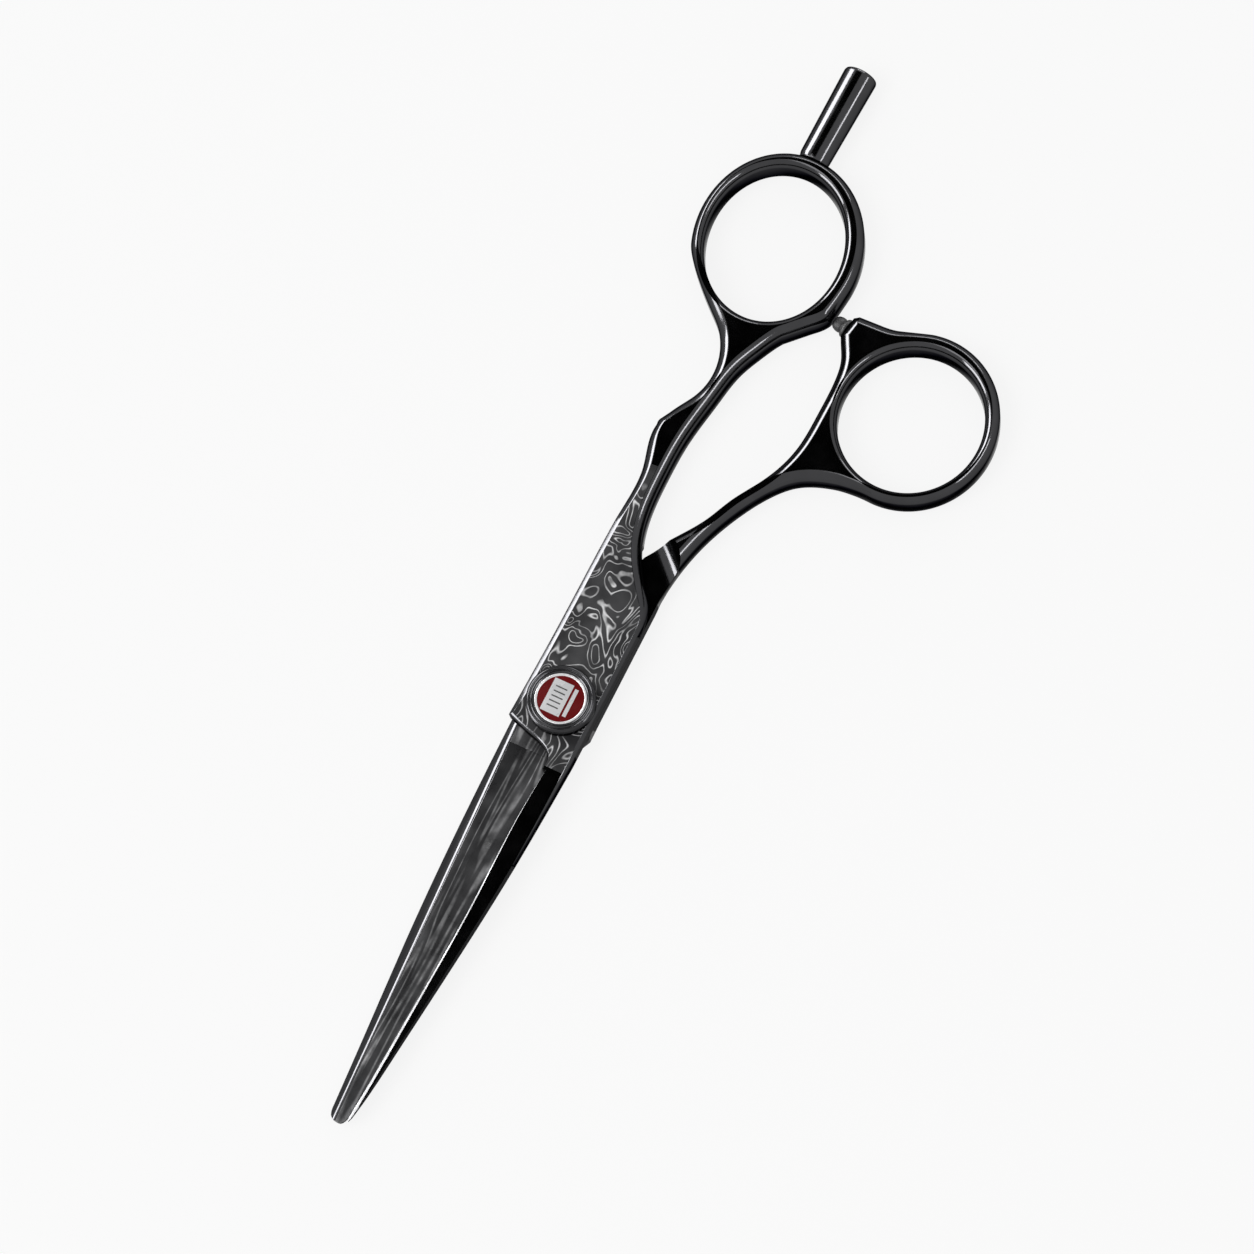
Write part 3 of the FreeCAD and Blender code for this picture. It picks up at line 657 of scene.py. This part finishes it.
def makeBackHalf():
    b = backHalf
    tip = b["tipY"]
    edge = [(5.0, -2.4), (3.2, -6.4), (2.3, -11.0), (1.9, -30.7), (1.15, -50.0), (0.2, -60.7)]
    nose = [(-0.3, tip + 1.4), (-1.1, tip)]
    point = [(-2.3, tip + 0.05), (-2.9, tip + 0.5)]
    spine = [(-3.25, tip + 1.4), (-4.05, -52.2), (-5.05, -39.2), (-5.75, -25.0), (-6.0, -8.0)]
    hidden = [(-6.0, 2.0), (-5.6, 7.5), (-3.9, 12.5), (-1.6, 18.5)]
    gap = [(0.3, 24.1), (3.1, 28.2), (5.9, 32.4)] + ringOffset(thumbRing, [
        (-17.6, -20.8), (-15.4, -17.2), (-13.6, -13.6), (-12.6, -10.0), (-12.25, -4.5), (-12.3, 1.5),
        (-12.8, 4.1), (-13.9, 6.3)])
    foot, corner = [ringOffset(thumbRing, [p]) for p in b["bumperFlat"]]
    lobe = ringOffset(thumbRing, [(-13.2, 11.0), (-10.0, 11.1), (-7.8, 11.3), (-5.0, 12.1), (-2.0, 12.0)])
    outer = ringOffset(thumbRing, [
        (-2.0, -12.0), (-5.2, -12.6), (-8.0, -13.4), (-10.7, -14.8), (-12.9, -17.0),
        (-16.1, -22.1)]) + [(7.1, 30.0), (5.6, 24.2)]
    side = [(5.0, 19.5)]
    rim = (b["rimCentre"], b["rimSize"], b["lean"])
    lobeRun = smoothCurve(lobe, sampleStep)
    lobeRun = lobeRun[~insideOval(lobeRun, *rim)]
    outerRun = smoothCurve(outer + [side[0]], sampleStep)[:-1]
    outerRun = outerRun[~insideOval(outerRun, *rim)]
    ring = ringArc(outerRun[0], lobeRun[-1], *rim)[::-1]
    loop, finish = outline([
        ("edge", edge, False), ("edge", nose, False), ("edge", point, False), ("blade", spine, False),
        ("handle", hidden, False), ("handle", gap, False), ("handle", foot, False), ("handle", corner, False),
        ("handle", lobeRun, True), ("ring", ring, True), ("handle", outerRun, True), ("joint", side, False)],
        marks=[lobeRun[-1], outerRun[0]])
    hole = oval(thumbRing, b["holeSize"], b["lean"], 170)[::-1]
    half = halfPlate("back_half", loop, finish, hole, np.tile(edgeFinish["hole"], (len(hole), 1)))
    # the top is cut away as far as the inner face, up to the rounded ramp at the neck
    start, radius = b["neckStart"], b["neckRadius"]
    ramp = [(start + radius * math.cos(a), innerLow + radius + radius * math.sin(a))
            for a in np.linspace(math.pi * 1.5, math.pi * 2, 26)]
    far = 150
    profile = [(-far, innerLow), *ramp, (start + radius, 12), (-far, 12)]
    carve(half, profileBar(profile, (0, 0), (math.cos(math.pi / 4), math.sin(math.pi / 4)), far))
    # the underside slopes up to the edge and thins towards the tip
    thick = innerLow - b["edgeThickness"]
    low = plane((2.6, bladeRoot, thick), (0, tip, thick), (-3.2, bladeRoot, 0))
    carve(half, acrossBlade(-8.0, -above, low))
    thin = plane((0, bladeRoot, 0), (1, bladeRoot, 0), (0, tip, innerLow - b["tipThickness"]))
    carve(half, acrossBlade(-8.0, -above, thin))
    # the inner face is ground hollow with a long cylinder
    hollow = bmesh.new()
    length = 70
    bmesh.ops.create_cone(hollow, cap_ends=True, segments=420, radius1=b["hollowRadius"],
                          radius2=b["hollowRadius"], depth=length)
    lift = innerLow + b["hollowRadius"]
    near = Vector((-1.9, -7.4, lift - b["hollowDepth"]))
    line = (Vector((-1.5, tip, lift - 0.05)) - near).normalized()
    turn = line.to_track_quat("Z", "Y").to_matrix().to_4x4()
    place = Matrix.Translation(near + line * length / 2) @ turn
    bmesh.ops.transform(hollow, matrix=place, verts=hollow.verts)
    carve(half, hollow)
    # spine chamfer and the narrow bright land beside it
    for inset, begin, drop in b["spineFacets"]:
        chamfer = plane((-6 + inset, bladeRoot, innerLow - begin), (-3.2 + inset, tip, innerLow - begin),
                        (-6, bladeRoot, innerLow - drop))
        strip = [(-1.5, pastTip), (-1.5, -7.4), (-4.3, -2), (-9, -2), (-9, pastTip)]
        carve(half, prism(strip, chamfer, above))
    carve(half, prism(disc(b["headRadius"]), -1, b["headFloor"]))
    s = b["squareSide"] / 2
    carve(half, prism([(-s, -s), (s, -s), (s, s), (-s, s)], -1, above))

    def choose(centre, normal):
        return 1 if normal.z > 0.985 and centre.z < innerLow + 0.1 and centre.y < -4 else 0

    finishMesh(half, [blackSteel, bladeSteel], choose)
    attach(half, "thumb_side")
    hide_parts("thumb_half")


makeFrontHalf()
makeBackHalf()
print("halves made")


# closed solid of revolution from (radius, height) corners in mm, listed once round
def lathe(name, profile, segments=128, origin=(0, 0, 0), axis=(0, 0, 1)):
    bm = bmesh.new()
    rings = []
    for i in range(segments):
        c, s = math.cos(2 * math.pi * i / segments), math.sin(2 * math.pi * i / segments)
        rings.append([bm.verts.new((r * c, r * s, h)) for r, h in profile])
    for i in range(segments):
        a, b = rings[i], rings[(i + 1) % segments]
        for k in range(len(profile)):
            n = (k + 1) % len(profile)
            if profile[k][0] < 1e-6 and profile[n][0] < 1e-6:
                continue
            bm.faces.new((a[k], b[k], b[n], a[n]))
    bmesh.ops.remove_doubles(bm, verts=bm.verts, dist=1e-4)
    bmesh.ops.dissolve_degenerate(bm, dist=1e-5, edges=bm.edges)
    bmesh.ops.recalc_face_normals(bm, faces=bm.faces)
    turn = Vector(axis).to_track_quat("Z", "Y").to_matrix().to_4x4()
    place = Matrix.Scale(mm, 4) @ Matrix.Translation(Vector(origin)) @ turn
    bmesh.ops.transform(bm, matrix=place, verts=bm.verts)
    for f in bm.faces:
        f.smooth = True
    mesh = meshOf(bm, name)
    mesh.set_sharp_from_angle(angle=math.radians(sharpAngle))
    return addObject(name, mesh)


# rounds the corners of a closed profile; corners on the axis stay as they are
def rounded(corners, radius, steps=5):
    result = []
    for i, corner in enumerate(corners):
        p = Vector(corner)
        if p.x < 1e-6:
            result.append(tuple(p))
            continue
        a = Vector(corners[i - 1]) - p
        b = Vector(corners[(i + 1) % len(corners)]) - p
        cut = min(radius, a.length * 0.45, b.length * 0.45)
        a = p + a.normalized() * cut
        b = p + b.normalized() * cut
        for k in range(steps + 1):
            t = k / steps
            result.append(tuple(a * (1 - t) ** 2 + p * 2 * t * (1 - t) + b * t ** 2))
    return result


def paint(thing, finish):
    thing.data.materials.clear()
    thing.data.materials.append(finish)


def dress(thing, finish, body, part):
    paint(thing, finish)
    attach(thing, body)
    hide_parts(part)


# the tension dial's collar, with two grooves round it, and the bright ring inside it
dial = {
    "outer": 4.83,
    "core": 3.63,
    "disc": 3.27,
    "low": 6.105,
    "top": 7.3,
    "grooveLevels": (6.45, 6.75),
    "grooveHalf": 0.08,
    "grooveDepth": 0.10,
    "shoulder": 0.28,
    "stepDepth": 0.12,
    "ringLow": 6.7,
    "ringTop": 7.15,
}


def makeDial():
    d = dial
    outer, core, disc, top = d["outer"], d["core"], d["disc"], d["top"]
    grooves = []
    for h in d["grooveLevels"]:
        grooves += [(outer, h - d["grooveHalf"]), (outer - d["grooveDepth"], h), (outer, h + d["grooveHalf"])]
    step = top - d["stepDepth"]
    crown = [(outer, top - d["shoulder"]), (outer - d["shoulder"], top - 0.04), (4.42, top), (4.30, step),
             (4.16, step), (4.04, top), (3.86, top - 0.01), (core, top - 0.2)]
    collar = [(core, d["low"]), (outer, d["low"])] + grooves + crown
    dress(lathe("dial_collar", rounded(collar, 0.06, 3)), darkDial, "dial", "dial_bezel")
    low, high = d["ringLow"], d["ringTop"]
    ring = [(disc, low), (core, low), (core, high - 0.05), (3.52, high), (3.38, high), (disc, high - 0.09)]
    dress(lathe("dial_ring", rounded(ring, 0.04, 3)), silver, "dial", "dial_trim_ring")


makeDial()

# the plain marks on the dial's plate
plateMarks = {"count": 5, "gap": 0.72, "length": 1.7, "width": 0.16, "height": 0.05, "centre": (-0.55, 0.0),
              "sunk": 0.1}                           # share of a bar's height that is in the plate


# one bar repeated in a row
def makeMarks():
    p = plateMarks
    tree = bpy.data.node_groups.new("scaleMarks", "GeometryNodeTree")
    face = tree.interface
    sockets = {}
    for label, kind, value in (
            ("Count", "NodeSocketInt", p["count"]), ("Gap", "NodeSocketFloat", p["gap"] * mm),
            ("Length", "NodeSocketFloat", p["length"] * mm), ("Width", "NodeSocketFloat", p["width"] * mm),
            ("Height", "NodeSocketFloat", p["height"] * mm)):
        socket = face.new_socket(label, in_out="INPUT", socket_type=kind)
        sockets[socket.identifier] = value
    face.new_socket("Geometry", in_out="OUTPUT", socket_type="NodeSocketGeometry")
    start = tree.nodes.new("NodeGroupInput")
    end = tree.nodes.new("NodeGroupOutput")
    row = tree.nodes.new("GeometryNodeMeshLine")
    step = tree.nodes.new("ShaderNodeCombineXYZ")
    size = tree.nodes.new("ShaderNodeCombineXYZ")
    bar = tree.nodes.new("GeometryNodeMeshCube")
    copies = tree.nodes.new("GeometryNodeInstanceOnPoints")
    real = tree.nodes.new("GeometryNodeRealizeInstances")
    paint = tree.nodes.new("GeometryNodeSetMaterial")
    paint.inputs["Material"].default_value = inkBlack
    link = tree.links.new
    link(start.outputs["Count"], row.inputs["Count"])
    link(start.outputs["Gap"], step.inputs["Y"])
    link(step.outputs[0], row.inputs["Offset"])
    for label, axis in (("Length", "X"), ("Width", "Y"), ("Height", "Z")):
        link(start.outputs[label], size.inputs[axis])
    link(size.outputs[0], bar.inputs["Size"])
    link(row.outputs["Mesh"], copies.inputs["Points"])
    link(bar.outputs["Mesh"], copies.inputs["Instance"])
    link(copies.outputs["Instances"], real.inputs["Geometry"])
    link(real.outputs["Geometry"], paint.inputs["Geometry"])
    link(paint.outputs["Geometry"], end.inputs[0])
    thing = addObject("plate_marks", bpy.data.meshes.new("plate_marks"))
    change = thing.modifiers.new("marks", "NODES")
    change.node_group = tree
    for identifier, value in sockets.items():
        change[identifier] = value
    mesh = settle(thing)
    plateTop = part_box("dial_plate")[1].z
    first = p["centre"][1] - (p["count"] - 1) * p["gap"] / 2
    level = plateTop + p["height"] * mm * (0.5 - p["sunk"])
    mesh.transform(Matrix.Translation((p["centre"][0] * mm, first * mm, level)))
    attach(thing, "dial")


makeMarks()

# the finger rest: its radius at the foot and at the end, length and lean, and where it stands
restShape = {"low": 2.3, "high": 2.55, "length": 15.3, "endRound": 0.5, "lean": -1.8, "seat": (-0.9, 13.6)}


def makeRest():
    r = restShape
    seat = fingerRing + r["seat"]
    lean = math.radians(r["lean"])
    end, cut = r["length"], r["endRound"]
    profile = [(0, 0.15), (r["low"] * 0.9, 0.15), (r["low"], 1.0), (r["high"], end - cut),
               (r["high"] - 0.12, end - 0.15), (r["high"] - cut, end), (0, end)]
    thing = lathe("finger_rest_barrel", rounded(profile, 0.25, 4), segments=96,
                  origin=(seat[0], seat[1], topLevel / 2), axis=(-math.sin(lean), math.cos(lean), 0))
    dress(thing, blackSteel, "finger_side", "finger_rest")


makeRest()

# the silencer: the place on the finger ring that it meets, and how far off it stops
bumperShape = {"meets": (12.2, -6.4), "gap": 0.15}


def makeBumper():
    s = bumperShape
    low, high = [thumbRing + p for p in backHalf["bumperFlat"]]
    line = (high - low) / np.linalg.norm(high - low)
    out = np.array((-line[1], line[0]))
    foot = (low + high) / 2
    reach = float((fingerRing + s["meets"] - foot) @ out) - s["gap"]
    flange = [(0, 0.0), (1.40, 0.0), (1.43, 0.35), (1.25, 0.62), (1.0, 0.72)]
    dome = [(1.12, 0.95), (1.12, reach * 0.6), (0.95, reach * 0.83), (0.6, reach * 0.96), (0, reach)]
    thing = lathe("bumper", rounded(flange + dome, 0.12, 3), segments=64,
                  origin=(foot[0], foot[1], topLevel / 2), axis=(out[0], out[1], 0))
    dress(thing, rubber, "thumb_side", "bumper_pad")


makeBumper()

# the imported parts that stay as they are, and their finishes
keptParts = {
    "dial_disc": enamel,
    "dial_bar": silver,
    "dial_plate": silver,
    "tension_dial": darkDial,
    "pivot_bolt": darkBolt,
    "dial_retainer": brightSteel,
    "click_plate": brightSteel,
    "click_spring": brightSteel,
    "lower_race": brightSteel,
    "bearing_balls": brightSteel,
    "ball_cage": brass,
    "pivot_sleeve": bushPlastic,
    "glide_washer": bushPlastic,
    "rest_stud": brightSteel,
    "bumper_stud": brightSteel,
}
for name, finish in keptParts.items():
    paint(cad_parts[name], finish)
print("dial, rest and bumper made")


# camera, floor and light, in metres and degrees
view = {
    "azimuth": -46.0,
    "elevation": 72.0,
    "roll": -18.0974,
    "target": (0.00274, 0.01397, 0.0030),
    "distance": 0.634,
    "lens": 131.87,
    "nearest": 0.01,
}


def makeCamera():
    v = view
    data = bpy.data.cameras.new("camera")
    data.lens = v["lens"]
    data.sensor_width = 36
    data.clip_start = v["nearest"]
    camera = addObject("camera", data)
    turn = (Matrix.Rotation(math.radians(v["azimuth"] + 90), 4, "Z")
            @ Matrix.Rotation(math.radians(90 - v["elevation"]), 4, "X")
            @ Matrix.Rotation(math.radians(v["roll"]), 4, "Z"))
    away = turn @ Vector((0, 0, v["distance"]))
    camera.matrix_world = Matrix.Translation(Vector(v["target"]) + away) @ turn
    bpy.context.scene.camera = camera


# 1 for what the camera sees directly, in a reflection or through glass, and 0 for the rest
def seenDirectly(tree):
    path = tree.nodes.new("ShaderNodeLightPath")
    mirrored = maths(tree, "MAXIMUM", path.outputs["Is Glossy Ray"], path.outputs["Is Transmission Ray"])
    return maths(tree, "MAXIMUM", path.outputs["Is Camera Ray"], mirrored)


def dullMaterial(name, grey):
    m, tree, shader = material(name)
    shader.inputs["Base Color"].default_value = (grey, grey, grey, 1)
    shader.inputs["Roughness"].default_value = 1.0
    shader.inputs["Specular IOR Level"].default_value = 0.0
    return m, tree, shader


floorShape = {"half": 3.0, "level": -0.0003, "grey": 0.9, "glow": 0.86}


def makeFloor():
    s = floorShape
    floor = card("floor", (-s["half"], -s["half"]), (s["half"], s["half"]), s["level"])
    m, tree, shader = dullMaterial("pale floor", s["grey"])
    # a share of plain white keeps the floor pale, and the rest of it takes the shadow
    white = node(tree, "ShaderNodeEmission", Strength=1.0)
    mix = tree.nodes.new("ShaderNodeMixShader")
    tree.links.new(maths(tree, "MULTIPLY", seenDirectly(tree), s["glow"]), mix.inputs[0])
    tree.links.new(shader.outputs[0], mix.inputs[1])
    tree.links.new(white.outputs[0], mix.inputs[2])
    tree.links.new(mix.outputs[0], tree.nodes["Material Output"].inputs["Surface"])
    floor.data.materials.append(m)


# a dark card overhead, met only by reflections, keeps the flat faces black
flagShape = {"low": (-0.56, -0.19), "high": (0.16, 0.61), "level": 0.90, "grey": 0.01}


def makeFlag():
    s = flagShape
    flag = card("flag", s["low"], s["high"], s["level"])
    flag.data.materials.append(dullMaterial("flag cloth", s["grey"])[0])
    flag.visible_camera = False
    flag.visible_diffuse = False
    flag.visible_shadow = False


# each panel: place, size, radiance, and whether only reflections meet it
panels = {
    "key panel": ((-0.62, 0.18, 0.30), (0.50, 0.34), 20, True),
    "far strip": ((-0.05, 0.75, 0.40), (0.50, 0.14), 12, True),
    "front panel": ((-0.60, -0.45, 0.30), (0.50, 0.34), 15, True),
    "right strip": ((0.62, 0.10, 0.36), (0.50, 0.09), 16, True),
    "soft box": ((-0.30, -0.35, 0.80), (0.50, 0.50), 3.2, False),
}
panelTarget = (0.008, 0.01, 0)
roomLight = {"seen": 1.0, "cast": 0.5}               # the world's strength as seen, and on the object


def makeLight():
    world = bpy.data.worlds.new("world")
    bpy.context.scene.world = world
    world.use_nodes = True
    tree = world.node_tree
    room = tree.nodes["Background"]
    room.inputs["Color"].default_value = (1, 1, 1, 1)
    strength = mapRange(tree, seenDirectly(tree), 0, 1, roomLight["cast"], roomLight["seen"])
    tree.links.new(strength, room.inputs["Strength"])
    for name, (place, size, radiance, glossOnly) in panels.items():
        data = bpy.data.lights.new(name, "AREA")
        data.shape = "RECTANGLE"
        data.size, data.size_y = size
        data.energy = radiance * math.pi * size[0] * size[1]
        light = addObject(name, data)
        light.location = place
        aim = Vector(panelTarget) - Vector(place)
        light.rotation_euler = aim.to_track_quat("-Z", "Y").to_euler()
        light.visible_diffuse = not glossOnly


makeCamera()
makeFlag()
makeFloor()
makeLight()
bpy.context.scene.view_settings.view_transform = "Standard"
print("camera, floor and light made")
